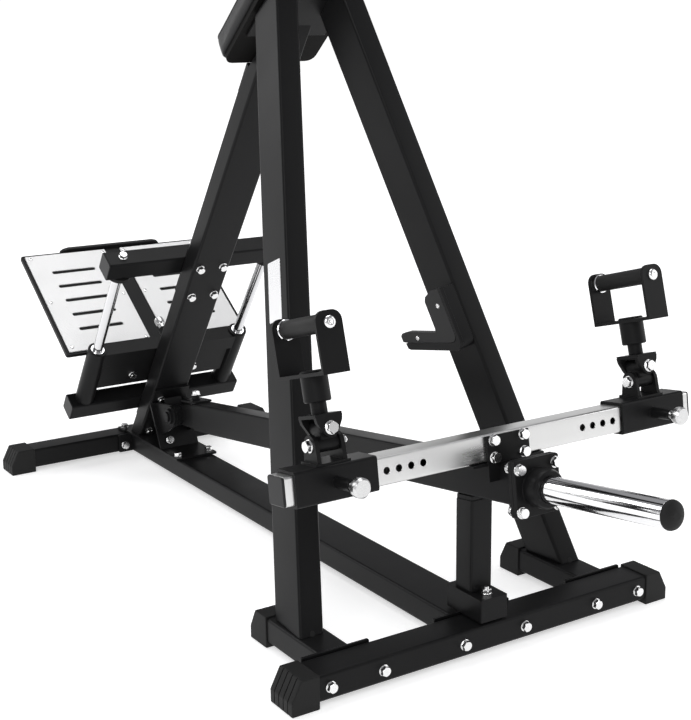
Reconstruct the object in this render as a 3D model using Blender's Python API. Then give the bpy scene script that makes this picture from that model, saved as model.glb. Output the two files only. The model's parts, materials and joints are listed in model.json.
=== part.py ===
"""Incline lever row machine.

A steel base carries an A-frame and an inclined main beam.  The user stands on
a foot plate that slides along the beam, lies on the chest pad and pulls a
plate-loaded lever by two swivelling handles.

Units are metres, +Z is up and +X is the user's right.  The weight horn points
to -Y.  Inside the machine frame Y is counted from the front face of the front
cross member; the machine frame itself is moved so that the origin is under
the middle of the whole object.
"""

import math

import bmesh
import bpy
from mathutils import Matrix, Vector

for old in list(bpy.data.objects):
    bpy.data.objects.remove(old, do_unlink=True)

# Driving dimensions
Y_CENTRE = 0.6500
GAP = 0.0003
WALL = 0.003
CORNER = 0.006

# Base
FLOOR_CLEAR = 0.011
CROSS_W = 0.070
CROSS_H = 0.050
BASE_TOP = FLOOR_CLEAR + CROSS_H
BASE_MID = FLOOR_CLEAR + CROSS_H / 2
SPINE_W = 0.100
FRONT_HALF = 0.4447
FRONT_CAP = 0.057
REAR_HALF = 0.392
REAR_CAP = 0.066
REAR_Y = 1.5385
FLANGE_T = 0.006
RAIL_X = 0.309
RAIL_END = 0.320
RAIL_CAP = 0.062
CAP_SKIN = 0.003
CAP_END = 0.026
CAP_SLOPE = 0.020
CAP_GROOVES = 4

# Legs of the A-frame
LEG_X = 0.3232
LEG_Y = 0.1717
LEG_IN = math.radians(10.9)
LEG_BACK = math.radians(21.03)
LEG_W = 0.050
LEG_D = 0.100

# Main beam, measured along its front face
BEAM_Y = 1.6291
BEAM_Z = -0.1473
BEAM_RISE = math.radians(54.26)
BEAM_W = 0.100
BEAM_D = 0.050
BEAM_REAR_END = 1.468
BASE_PLATE_T = 0.006

# Chest pad, measured from the lower edge of its steel plate
PAD_Y = 0.8000
PAD_Z = 1.0655
PAD_RISE = math.radians(39.0)
PAD_L = 0.414
PAD_W = 0.234
PAD_T = 0.056
BOARD_T = 0.012
PLATE_T = 0.005

# Foot plate and its guides, in the beam's frame
GUIDE_X = 0.203
GUIDE_R = 0.0125
GUIDE_BACK = 0.026
MEMBER = 0.050
MEMBER_HALF = 0.243
UPPER_S = 0.8610
LOWER_S = 0.3465
BUSH_R = 0.0245
BUSH_S = (0.3725, 0.5600)
TREAD_S = 0.5143
TREAD_T = 0.003
FOOT_W = 0.5268
FOOT_L = 0.372
FOOT_BACK = 0.113
FOOT_T = 0.013
PIN_S = 0.556

# Lever, in the lever's frame: forward distances from the pivot, height from its centre line
PIVOT_Y = 1.2753
PIVOT_Z = 0.1697
LEVER_RISE = math.radians(7.79)
LEVER_W = 0.050
LEVER_H = 0.073
LEVER_REAR = 0.081
LEVER_FRONT = 1.3814
HORN_R = 0.024
HORN_END = 1.7136
FLANGE_W = 0.100
FLANGE_H = 0.103
FLANGE_UP = 0.002
SHAFT_R = 0.0125
BAR_F = 1.294
BAR_Z = 0.067
BAR_D = 0.050
BAR_H = 0.050
BAR_HALF = 0.459
HOLE_R = 0.0065
HOLE_PITCH = 0.0255
SLEEVE_X = 0.3617
SLEEVE_L = 0.1615
SLEEVE_WALL = 0.005

# Universal-joint handles
JOINT_BACK = 0.0016
JOINT_UP = 0.062
JOINT_LEAN = math.radians(7.71)
ROLL_UP = 0.026
SWIVEL_UP = 0.072
GRIP_UP = 0.1972
GRIP_R = 0.0155
STRAP_HALF = 0.0701
STRAP_T = 0.006
STRAP_W = 0.051
STRAP_UP = 0.1134
TRUNNION_R = 0.006
HOUSING_R = 0.0235

SIDES = (("left", -1), ("right", 1))


def material(name, colour, roughness, metallic=0.0):
    made = bpy.data.materials.new(name)
    made.use_nodes = True
    shader = made.node_tree.nodes["Principled BSDF"]
    shader.inputs["Base Color"].default_value = (*colour, 1)
    shader.inputs["Roughness"].default_value = roughness
    shader.inputs["Metallic"].default_value = metallic
    made.diffuse_color = (*colour, 1)
    return made


BLACK_STEEL = material("black_powder_coat", (0.012, 0.012, 0.013), 0.42)
CHROME = material("chrome", (0.78, 0.78, 0.79), 0.08, 1.0)
SATIN_BAR = material("satin_chrome", (0.62, 0.62, 0.62), 0.30, 1.0)
ALUMINIUM = material("tread_aluminium", (0.70, 0.70, 0.70), 0.45, 1.0)
RUBBER = material("rubber", (0.014, 0.014, 0.014), 0.70)
PLASTIC = material("black_plastic", (0.016, 0.016, 0.017), 0.50)
VINYL = material("vinyl", (0.014, 0.014, 0.015), 0.48)
BOARD = material("board", (0.05, 0.045, 0.04), 0.75)

AXES = {
    "X": lambda a, b, h: (h, a, b),
    "Y": lambda a, b, h: (a, h, b),
    "Z": lambda a, b, h: (a, b, h),
}


def frame(name, parent, location=(0, 0, 0), lean=0.0):
    """An empty that carries a group of parts; lean turns it about X."""
    empty = bpy.data.objects.new(name, None)
    bpy.context.scene.collection.objects.link(empty)
    empty.parent = parent
    empty.location = location
    empty.rotation_euler = (lean, 0, 0)
    return empty


def place(name, bm, look, parent, matrix=None, helper=False):
    """Turns a bmesh into a named object under its frame."""
    bmesh.ops.recalc_face_normals(bm, faces=bm.faces)
    mesh = bpy.data.meshes.new(name)
    bm.to_mesh(mesh)
    bm.free()
    mesh.materials.append(look)
    mesh.shade_smooth()
    mesh.set_sharp_from_angle(angle=math.radians(28))
    obj = bpy.data.objects.new(name, mesh)
    bpy.context.scene.collection.objects.link(obj)
    obj.parent = parent
    if matrix is not None:
        obj.matrix_local = matrix
    obj.hide_render = helper
    if helper:
        obj.display_type = "WIRE"
    return obj


def rect(width, depth, radius=CORNER, steps=3, centre=(0, 0)):
    """A rounded rectangle as a ring of 4 * (steps + 1) points."""
    ring = []
    for quarter, (side_a, side_b) in enumerate(((1, 1), (-1, 1), (-1, -1), (1, -1))):
        mid_a = centre[0] + side_a * (width / 2 - radius)
        mid_b = centre[1] + side_b * (depth / 2 - radius)
        for step in range(steps + 1):
            angle = math.pi / 2 * (quarter + step / steps)
            ring.append((mid_a + radius * math.cos(angle), mid_b + radius * math.sin(angle)))
    return ring


def circle(radius, steps=7, centre=(0, 0)):
    """A circle with the same point count and order as rect()."""
    count = 4 * (steps + 1)
    angles = [2 * math.pi * (index + 0.5) / count for index in range(count)]
    return [(centre[0] + radius * math.cos(a), centre[1] + radius * math.sin(a)) for a in angles]


def loft(axis, sections, closed=False):
    """A skin over (ring, height) sections; a height may be a function of the ring point.

    An open skin is capped at both ends.  A closed one joins its last ring to its first,
    which makes a tube with a through bore.
    """
    bm = bmesh.new()
    loops = []
    for ring, height in sections:
        heights = [height(a, b) if callable(height) else height for a, b in ring]
        loops.append([bm.verts.new(AXES[axis](a, b, h)) for (a, b), h in zip(ring, heights)])
    pairs = list(zip(loops, loops[1:]))
    if closed:
        pairs.append((loops[-1], loops[0]))
    else:
        bm.faces.new(loops[0])
        bm.faces.new(loops[-1])
    for near, far in pairs:
        for index in range(len(near)):
            following = (index + 1) % len(near)
            bm.faces.new((near[index], near[following], far[following], far[index]))
    return bm


def box_tube(axis, width, depth, start, stop, wall=WALL, centre=(0, 0), radius=CORNER):
    """A rectangular tube, open at both ends."""
    outer = rect(width, depth, radius, centre=centre)
    inner = rect(width - 2 * wall, depth - 2 * wall, radius / 2, centre=centre)
    return loft(axis, [(outer, start), (outer, stop), (inner, stop), (inner, start)], closed=True)


def round_tube(axis, radius, bore, start, stop, centre=(0, 0), steps=7):
    outer = circle(radius, steps, centre)
    inner = circle(bore, steps, centre)
    return loft(axis, [(outer, start), (outer, stop), (inner, stop), (inner, start)], closed=True)


def rod(axis, radius, start, stop, centre=(0, 0), steps=7, chamfer=0.0):
    ring = circle(radius, steps, centre)
    if not chamfer:
        return loft(axis, [(ring, start), (ring, stop)])
    small = circle(radius - chamfer, steps, centre)
    return loft(axis, [(small, start), (ring, start + chamfer), (ring, stop - chamfer), (small, stop)])


def block(low, high, radius=0.002):
    """A solid box with rounded upright edges."""
    centre = ((low[0] + high[0]) / 2, (low[1] + high[1]) / 2)
    ring = rect(high[0] - low[0], high[1] - low[1], radius, 2, centre)
    return loft("Z", [(ring, low[2]), (ring, high[2])])


def slab(axis, outline, start, stop):
    """A plate cut to an outline, with its thickness along an axis."""
    return loft(axis, [(outline, start), (outline, stop)])


def arc(centre, radius, first, last, steps=8):
    """Points of an arc, angles in degrees."""
    angles = [math.radians(first + (last - first) * index / steps) for index in range(steps + 1)]
    return [(centre[0] + radius * math.cos(a), centre[1] + radius * math.sin(a)) for a in angles]


def combine(target, kind, bm):
    """Adds a boolean with a hidden tool that sits in the target's own frame."""
    tool = place(f"{target.name}_{kind.lower()}_{len(target.modifiers)}", bm, BLACK_STEEL, target.parent, None, True)
    tool.location = target.location
    tool.rotation_euler = target.rotation_euler
    modifier = target.modifiers.new(tool.name, "BOOLEAN")
    modifier.operation = kind
    modifier.solver = "EXACT"
    modifier.object = tool
    return target


def soften(obj, width=0.0012, segments=2, angle=40):
    modifier = obj.modifiers.new("edges", "BEVEL")
    modifier.width = width
    modifier.segments = segments
    modifier.limit_method = "ANGLE"
    modifier.angle_limit = math.radians(angle)
    modifier.use_clamp_overlap = True
    return obj


def plane_height(matrix, point, normal):
    """Height, along a tube's own axis, at which each of its edges meets a plane."""
    origin = matrix.to_translation()
    across, deep, along = (matrix.to_3x3().col[index] for index in range(3))

    def height(a, b):
        edge = origin + across * a + deep * b
        return (Vector(point) - edge).dot(Vector(normal)) / along.dot(Vector(normal))

    return height


machine = frame("machine", None, (0, -Y_CENTRE, 0))
beam = frame("beam_frame", machine, (0, BEAM_Y, BEAM_Z), math.pi / 2 - BEAM_RISE)
pad = frame("pad_frame", machine, (0, PAD_Y, PAD_Z), -PAD_RISE)
PAD_NORMAL = (0, math.sin(PAD_RISE), math.cos(PAD_RISE))
PAD_POINT = (0, PAD_Y - GAP * PAD_NORMAL[1], PAD_Z - GAP * PAD_NORMAL[2])


def foot_cap(name, axis, centre, width, mouth, end):
    """A rubber cup over a tube's end: a sloping ribbed face and a sole that stands on the floor."""
    height = BASE_TOP + CAP_SKIN
    outward = 1 if end > mouth else -1
    bottom = end - outward * CAP_END
    bend = 0.4 * height
    across = {"X": "Y", "Y": "X"}[axis]
    half = width / 2 + CAP_SKIN
    profile = [(mouth, 0), (end, 0), (end, bend), (end - outward * CAP_SLOPE, height), (mouth, height)]
    cap = place(name, slab(across, profile, centre - half, centre + half), RUBBER, machine)
    soften(cap, 0.0025, 2, 20)
    pocket = rect(width + 2 * GAP, CROSS_H + 2 * GAP, CORNER, centre=(centre, BASE_MID))
    combine(cap, "DIFFERENCE", loft(axis, [(pocket, mouth - outward * 0.010), (pocket, bottom)]))
    for step in range(CAP_GROOVES):
        middle = centre + 2 * half * ((step + 1) / (CAP_GROOVES + 1) - 0.5)
        cut = [(0.010, -0.010), (-0.0022, -0.010), (-0.0022, bend), (-CAP_SLOPE - 0.0022, height), (-CAP_SLOPE - 0.0022, 0.080), (0.010, 0.080)]
        groove = [(end + outward * depth, level) for depth, level in cut]
        combine(cap, "DIFFERENCE", slab(across, groove, middle - 0.0012, middle + 0.0012))


def build_base():
    """Cross members, spine, side rails and the rubber caps on their ends."""
    front = CROSS_W / 2
    rear = REAR_Y + CROSS_W / 2
    for name, middle, half, cap in (("front", front, FRONT_HALF, FRONT_CAP), ("rear", rear, REAR_HALF, REAR_CAP)):
        reach = half - CAP_END - GAP
        bm = box_tube("X", CROSS_W, CROSS_H, -reach, reach, centre=(middle, BASE_MID))
        place(f"{name}_crossbar", bm, BLACK_STEEL, machine)
        for side, sign in SIDES:
            foot_cap(f"{name}_foot_cap_{side}", "X", middle, CROSS_W, sign * (half - cap), sign * half)

    near = CROSS_W + GAP
    far = REAR_Y - GAP
    tube = rect(SPINE_W, CROSS_H, CORNER, centre=(0, BASE_MID))
    bore = rect(SPINE_W - 2 * WALL, CROSS_H - 2 * WALL, CORNER / 2, centre=(0, BASE_MID))
    front_flange = rect(0.180, CROSS_H + 0.005, 0.003, centre=(0, BASE_MID + 0.001))
    rear_flange = rect(0.174, CROSS_H, 0.003, centre=(0, BASE_MID))
    spine = [
        (front_flange, near), (front_flange, near + FLANGE_T), (tube, near + FLANGE_T),
        (tube, far - FLANGE_T), (rear_flange, far - FLANGE_T), (rear_flange, far),
        (bore, far), (bore, near),
    ]
    place("base_spine", loft("Y", spine, closed=True), BLACK_STEEL, machine)

    for side, sign in SIDES:
        middle = (sign * RAIL_X, BASE_MID)
        end = RAIL_END - CAP_END - GAP
        tube = rect(CROSS_W, CROSS_H, CORNER, centre=middle)
        bore = rect(CROSS_W - 2 * WALL, CROSS_H - 2 * WALL, CORNER / 2, centre=middle)
        flange = rect(0.144, CROSS_H + 0.005, 0.003, centre=(middle[0], BASE_MID + 0.001))
        rail = [(flange, near), (flange, near + FLANGE_T), (tube, near + FLANGE_T), (tube, end), (bore, end), (bore, near)]
        place(f"side_rail_{side}", loft("Y", rail, closed=True), BLACK_STEEL, machine)
        foot_cap(f"side_rail_cap_{side}", "Y", sign * RAIL_X, CROSS_W, RAIL_END - RAIL_CAP, RAIL_END)


def leg_matrix(sign):
    """Frame of a leg: across in the A's plane, deep to the rear, along the leg."""
    up = Vector((0, math.sin(LEG_BACK), math.cos(LEG_BACK)))
    inward = Vector((-sign, 0, 0))
    along = up * math.cos(LEG_IN) + inward * math.sin(LEG_IN)
    deep = Vector((0, math.cos(LEG_BACK), -math.sin(LEG_BACK)))
    across = deep.cross(along)
    matrix = Matrix((across, deep, along)).transposed().to_4x4()
    matrix.translation = (sign * LEG_X, LEG_Y, 0)
    return matrix


def build_frame():
    """A-frame legs and the inclined main beam."""
    for side, sign in SIDES:
        matrix = leg_matrix(sign)
        foot = plane_height(matrix, (0, 0, BASE_TOP + GAP), (0, 0, 1))
        top = plane_height(matrix, PAD_POINT, PAD_NORMAL)
        leg = place(f"leg_{side}", box_tube("Z", LEG_W, LEG_D, foot, top), BLACK_STEEL, machine)
        leg.matrix_local = matrix
    matrix = Matrix.Translation((0, BEAM_Y, BEAM_Z)) @ Matrix.Rotation(math.pi / 2 - BEAM_RISE, 4, "X")
    foot = plane_height(matrix, (0, 0, BASE_TOP + BASE_PLATE_T + 2 * GAP), (0, 0, 1))
    top = plane_height(matrix, PAD_POINT, PAD_NORMAL)
    tube = place("main_beam", box_tube("Z", BEAM_W, BEAM_D, foot, top, centre=(0, BEAM_D / 2)), BLACK_STEEL, beam)
    # The rear of the tube runs on past the slanted cut, up to the pad's lower end.
    combine(tube, "UNION", block((-0.0497, 0.0355, 1.395), (0.0497, 0.0497, BEAM_REAR_END), 0.003))


def build_chest_pad():
    """Steel plate on the beam and legs, plywood board and the padded top."""
    plate = [(0.095, -0.100), (0.095, -0.335), (-0.095, -0.335), (-0.095, -0.100)]
    soften(place("pad_support_plate", slab("Z", plate, 0, PLATE_T), BLACK_STEEL, pad), 0.001)
    board = rect(PAD_W - 0.012, PAD_L - 0.012, 0.020, 4, (0, -PAD_L / 2))
    low = PLATE_T + GAP
    place("chest_pad_board", slab("Z", board, low, low + BOARD_T), BOARD, pad)
    low += BOARD_T + GAP
    ring = rect(PAD_W, PAD_L, 0.024, 5, (0, -PAD_L / 2))
    crown = rect(PAD_W - 0.020, PAD_L - 0.020, 0.018, 5, (0, -PAD_L / 2))
    cushion = [(ring, low), (ring, low + PAD_T - 0.010), (crown, low + PAD_T)]
    place("chest_pad", loft("Z", cushion), VINYL, pad)


def build_rest_post():
    """Post that the lever lands on, its foot and its rubber pad."""
    foot_top = 0.110
    outer = rect(0.063, 0.106, 0.003, centre=(0, 0.057))
    inner = rect(0.063 - 2 * WALL, 0.106 - 2 * WALL, 0.002, centre=(0, 0.057))
    low = BASE_TOP + 0.0035 + GAP
    foot = [(outer, foot_top), (outer, low), (inner, low), (inner, foot_top - 0.004)]
    place("post_foot", loft("Z", foot), BLACK_STEEL, machine)
    slope = math.tan(LEVER_RISE)
    under = PIVOT_Z - LEVER_H / 2 / math.cos(LEVER_RISE)

    def lever_underside(drop):
        return lambda a, b: under + (PIVOT_Y - b) * slope - drop

    middle = (0, 0.068)
    post = rect(0.050, 0.050, 0.005, centre=middle)
    bore = rect(0.044, 0.044, 0.003, centre=middle)
    start = foot_top + GAP
    top = lever_underside(0.0087)
    place("rest_post", loft("Z", [(post, start), (post, top), (bore, top), (bore, start)], closed=True), BLACK_STEEL, machine)
    rubber = rect(0.048, 0.048, 0.004, centre=middle)
    place("rest_pad", loft("Z", [(rubber, lever_underside(0.0084)), (rubber, lever_underside(0.0004))]), RUBBER, machine)


def build_hook():
    """J-shaped rest on the inner face of the right leg, with its plastic liner."""
    matrix = leg_matrix(1)
    # Outlines in (to the rear, along the leg).
    steel = [(-0.0500, 0.6760), (-0.0500, 0.5640), (-0.0475, 0.5530), (-0.0400, 0.5440), (-0.0300, 0.5420)]
    steel += [(0.1260, 0.5735), (0.1330, 0.5780), (0.1345, 0.5900), (0.1270, 0.5893)]
    steel += [(-0.0240, 0.5606), (-0.0340, 0.5625), (-0.0400, 0.5690), (-0.0418, 0.5780), (-0.0418, 0.6760)]
    web = [(-0.0496, 0.6750), (-0.0496, 0.5642), (-0.0471, 0.5532), (-0.0397, 0.5444), (-0.0299, 0.5425), (0.0100, 0.5508)]
    web += [(0.0100, 0.5664), (-0.0243, 0.5600), (-0.0343, 0.5619), (-0.0405, 0.5687), (-0.0422, 0.5779), (-0.0422, 0.6750)]
    inner = -LEG_W / 2 - GAP
    plate = place("hook_plate", slab("X", steel, inner - 0.036, inner - 0.028), BLACK_STEEL, machine)
    plate.matrix_local = matrix
    combine(plate, "UNION", slab("X", web, inner - 0.0355, inner))
    liner = [(-0.0236, 0.5612), (-0.0334, 0.5631), (-0.0394, 0.5694), (-0.0414, 0.5782), (-0.0414, 0.6765), (-0.0150, 0.6772)]
    liner += [(0.0100, 0.6690), (0.0165, 0.6600), (0.0165, 0.6000), (0.0190, 0.5925), (0.1100, 0.6118), (0.1360, 0.6128)]
    liner += [(0.1425, 0.6080), (0.1425, 0.5940), (0.1270, 0.5899)]
    strip = place("hook_liner", slab("X", liner, inner - 0.036, inner - 0.024), PLASTIC, machine)
    strip.matrix_local = matrix


def build_guides():
    """Members bolted behind the beam and the two chrome guide rods between them."""
    near = BEAM_D + GAP
    middle = near + MEMBER / 2
    for name, level, plate in (("upper", UPPER_S, (0.772, 0.915)), ("lower", LOWER_S, (0.300, 0.393))):
        member = place(
            f"guide_{name}_member",
            box_tube("X", MEMBER, MEMBER, -MEMBER_HALF, MEMBER_HALF, centre=(middle, level), radius=0.005),
            BLACK_STEEL, beam,
        )
        combine(member, "UNION", block((-0.046, near, plate[0]), (0.046, near + 0.006, plate[1])))
    back = BEAM_D + GUIDE_BACK
    start = LOWER_S + MEMBER / 2 + GAP
    stop = UPPER_S - MEMBER / 2 - GAP
    for side, sign in SIDES:
        bm = rod("Z", GUIDE_R, start, stop, centre=(sign * GUIDE_X, back))
        place(f"guide_rod_{side}", bm, CHROME, beam)


def build_foot_plate():
    """Carriage on the guide rods, the foot plate, its treads, heel stop and locking pin."""
    slide = frame("foot_plate_slide", beam)
    back = BEAM_D + GUIDE_BACK
    carriage = place("foot_carriage", block((-GUIDE_X, 0.0560, 0.510), (GUIDE_X, 0.0975, 0.556), 0.003), BLACK_STEEL, slide)
    combine(carriage, "UNION", block((-GUIDE_X, 0.0640, 0.420), (GUIDE_X, 0.0720, 0.520)))
    for sign in (-1, 1):
        combine(carriage, "UNION", rod("Z", BUSH_R, *BUSH_S, centre=(sign * GUIDE_X, back)))
        rib = [(0.070, 0.425), (0.070, 0.4900), (0.360, 0.4900), (0.360, 0.4800), (0.110, 0.425)]
        middle = sign * 0.120
        combine(carriage, "UNION", slab("X", rib, middle - 0.004, middle + 0.004))
    combine(carriage, "UNION", rod("Y", 0.014, 0.0535, 0.118, centre=(0, PIN_S)))
    for sign in (-1, 1):
        bore = circle(GUIDE_R + 0.0004, 7, (sign * GUIDE_X, back))
        combine(carriage, "DIFFERENCE", loft("Z", [(bore, 0.30), (bore, 0.60)]))
    combine(carriage, "DIFFERENCE", rod("Y", 0.0056, 0.040, 0.130, centre=(0, PIN_S), steps=5))

    top = TREAD_S - TREAD_T - GAP
    middle = (0, FOOT_BACK + FOOT_L / 2)
    outer = rect(FOOT_W, FOOT_L, 0.006, 3, middle)
    inner = rect(FOOT_W - 0.010, FOOT_L - 0.010, 0.003, 3, middle)
    tray = [(outer, top), (outer, top - FOOT_T + 0.003), (inner, top - FOOT_T + 0.003), (inner, top - 0.005)]
    combined = place("foot_plate_frame", loft("Z", tray), BLACK_STEEL, slide)
    # The ribs of the carriage stand 0.49 up the beam; the tray's floor clears them.
    combine(combined, "DIFFERENCE", block((-0.1245, 0.100, 0.480), (-0.1155, 0.3605, 0.4903)))
    combine(combined, "DIFFERENCE", block((0.1155, 0.100, 0.480), (0.1245, 0.3605, 0.4903)))

    for side, sign in SIDES:
        low, high = (-0.2545, -0.0223) if sign < 0 else (0.0223, 0.2545)
        centre = ((low + high) / 2, middle[1])
        outline = rect(high - low, FOOT_L - 0.014, 0.003, 2, centre)
        tread = place(f"foot_tread_{side}", slab("Z", outline, TREAD_S - TREAD_T, TREAD_S), ALUMINIUM, slide)
        start = -0.200 if sign < 0 else 0.076
        for step in range(5):
            slot = rect(0.124, 0.0110, 0.0054, 3, (start + 0.062, FOOT_BACK + 0.082 + step * 0.0533))
            combine(tread, "DIFFERENCE", slab("Z", slot, TREAD_S - 0.01, TREAD_S + 0.01))

    far = FOOT_BACK + FOOT_L + GAP
    stop = [(-0.148, top - 0.010), (-0.148, top - 0.001), (-0.140, top + 0.006), (-0.126, top + 0.010)]
    stop += [(-a, b) for a, b in reversed(stop)]
    place("foot_heel_stop", slab("Y", stop, far, far + 0.008), PLASTIC, slide)

    pull = frame("foot_pin_slide", slide, (0, 0, PIN_S))
    knob = [
        (circle(0.005, 5), 0.0508), (circle(0.005, 5), 0.1183), (circle(0.009, 5), 0.1183), (circle(0.009, 5), 0.132),
        (circle(0.0125, 5), 0.136), (circle(0.0135, 5), 0.145), (circle(0.0125, 5), 0.153), (circle(0.008, 5), 0.157),
    ]
    place("foot_pin", loft("Y", knob), CHROME, pull)


def build_pivot():
    """Bracket on the base that carries the lever's shaft in two flanged bearings."""
    low = BASE_TOP + GAP
    top = low + BASE_PLATE_T
    bracket = place("pivot_bracket", block((-0.058, 1.228, low), (0.058, 1.588, top), 0.003), BLACK_STEEL, machine)
    combine(bracket, "UNION", block((-0.064, 1.548, low), (0.064, 1.592, top), 0.003))
    # Sloping plate that stands on the base plate, and the plate that is bolted on the beam.
    slope = [(1.3265, 0.0645), (1.3840, 0.1810), (1.3894, 0.1783), (1.3319, 0.0618)]
    combine(bracket, "UNION", slab("X", slope, -0.055, 0.055))
    flat = [(1.3980, 0.1729), (1.3629, 0.2217), (1.3580, 0.2182), (1.3931, 0.1694)]
    combine(bracket, "UNION", slab("X", flat, -0.050, 0.050))
    ear = [(1.3465, 0.1000), (1.3875, 0.1800)] + arc((PIVOT_Y, PIVOT_Z), 0.028, 75, 255, 10)
    for sign in (-1, 1):
        faces = sorted((sign * 0.0345, sign * 0.0425))
        combine(bracket, "UNION", slab("X", ear, *faces))
    combine(bracket, "DIFFERENCE", rod("X", 0.0140, -0.08, 0.08, centre=(PIVOT_Y, PIVOT_Z)))
    for side, sign in SIDES:
        bore = circle(SHAFT_R + 0.0004, 7, (PIVOT_Y, PIVOT_Z))
        flange = circle(0.0270, 7, (PIVOT_Y, PIVOT_Z))
        hub = circle(0.0205, 7, (PIVOT_Y, PIVOT_Z))
        near = sign * (0.0425 + GAP)
        shoulder = sign * 0.0500
        end = sign * 0.0580
        sections = [(flange, near), (flange, shoulder), (hub, shoulder), (hub, end), (bore, end), (bore, near)]
        place(f"pivot_bearing_{side}", loft("X", sections, closed=True), BLACK_STEEL, machine)


def build_lever():
    """Lever arm, shaft, weight horn and the width bar clamped across it."""
    lever = frame("lever_axis", machine, (0, PIVOT_Y, PIVOT_Z), -LEVER_RISE)
    outer = rect(LEVER_W, LEVER_H, CORNER)
    inner = rect(LEVER_W - 2 * WALL, LEVER_H - 2 * WALL, CORNER / 2)
    end_plate = rect(FLANGE_W, FLANGE_H, 0.005, centre=(0, FLANGE_UP))
    arm = [
        (outer, -LEVER_REAR), (outer, -LEVER_FRONT), (end_plate, -LEVER_FRONT), (end_plate, -LEVER_FRONT - 0.008),
        (inner, -LEVER_FRONT - 0.008), (inner, -LEVER_REAR),
    ]
    place("lever_arm", loft("Y", arm, closed=True), BLACK_STEEL, lever)

    hub = place("lever_hub", rod("X", 0.0270, -0.0335, 0.0335), BLACK_STEEL, lever)
    cheek = [(-LEVER_REAR + GAP, -0.030), (-LEVER_REAR + GAP, 0.030), (-0.010, 0.026), (-0.010, -0.026)]
    combine(hub, "UNION", slab("X", cheek, -0.023, 0.023))
    combine(hub, "DIFFERENCE", rod("X", SHAFT_R + GAP, -0.07, 0.07))
    place("lever_shaft", rod("X", SHAFT_R, -0.0625, 0.0625, chamfer=0.001), CHROME, lever)

    near = -LEVER_FRONT - 0.008 - GAP
    plate_front = near - 0.010
    collar_front = near - 0.042
    square = rect(FLANGE_W, FLANGE_H, 0.005, 7, (0, FLANGE_UP))
    collar = circle(0.036)
    lip = circle(0.032)
    bore = circle(HORN_R + GAP)
    flange = [
        (square, near), (square, plate_front), (collar, plate_front), (collar, collar_front + 0.006),
        (lip, collar_front), (bore, collar_front), (bore, near),
    ]
    place("horn_flange", loft("Y", flange, closed=True), BLACK_STEEL, lever)
    place("weight_horn", round_tube("Y", HORN_R, HORN_R - 0.004, near, -HORN_END), CHROME, lever)
    stem = circle(HORN_R - 0.004 - GAP)
    cap = [(stem, -HORN_END + 0.030), (stem, -HORN_END - GAP)]
    for angle in (0, 18, 36, 54, 72):
        turn = math.radians(angle)
        cap.append((circle(0.0250 * math.cos(turn)), -HORN_END - 0.002 - 0.012 * math.sin(turn)))
    cap.insert(2, (circle(0.0250), -HORN_END - GAP))
    place("horn_cap", loft("Y", cap), RUBBER, lever)

    bar_low = BAR_Z - BAR_H / 2
    front = -BAR_F - BAR_D / 2
    rear = -BAR_F + BAR_D / 2
    saddle_low = LEVER_H / 2 + GAP
    clamp = place("bar_clamp", block((-0.082, front - 0.006, saddle_low), (0.082, rear + 0.006, bar_low - GAP), 0.002), BLACK_STEEL, lever)
    top = BAR_Z + BAR_H / 2 - 0.0025
    face = [(-0.048, top), (-0.048, 0.007), (-0.0255, 0.007), (-0.0255, 0.040), (0.0255, 0.040), (0.0255, 0.007)]
    face += [(0.048, 0.007), (0.048, top)]
    combine(clamp, "UNION", slab("Y", face, front - GAP - 0.006, front - GAP))
    combine(clamp, "UNION", slab("Y", [(-0.048, top), (-0.048, 0.038), (0.048, 0.038), (0.048, top)], rear + GAP, rear + GAP + 0.006))

    bar = place(
        "width_bar",
        box_tube("X", BAR_D, BAR_H, -BAR_HALF, BAR_HALF, wall=0.0025, centre=(-BAR_F, BAR_Z), radius=0.004),
        SATIN_BAR, lever,
    )
    for sign in (-1, 1):
        for step in range(8):
            hole = circle(HOLE_R, 3, (sign * (SLEEVE_X - step * HOLE_PITCH), BAR_Z))
            combine(bar, "DIFFERENCE", loft("Y", [(hole, front - 0.01), (hole, -BAR_F)]))
    for side, sign in SIDES:
        stem = rect(BAR_D - 0.0056, BAR_H - 0.0056, 0.002, centre=(-BAR_F, BAR_Z))
        head = rect(BAR_D, BAR_H, 0.004, centre=(-BAR_F, BAR_Z))
        small = rect(BAR_D - 0.003, BAR_H - 0.003, 0.003, centre=(-BAR_F, BAR_Z))
        end = BAR_HALF + GAP
        plug = [(stem, sign * (end - 0.020)), (stem, sign * end), (head, sign * end), (head, sign * (end + 0.0025)), (small, sign * (end + 0.004))]
        place(f"bar_plug_{side}", loft("X", plug), PLASTIC, lever)
        build_handle(lever, side, sign)


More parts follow.
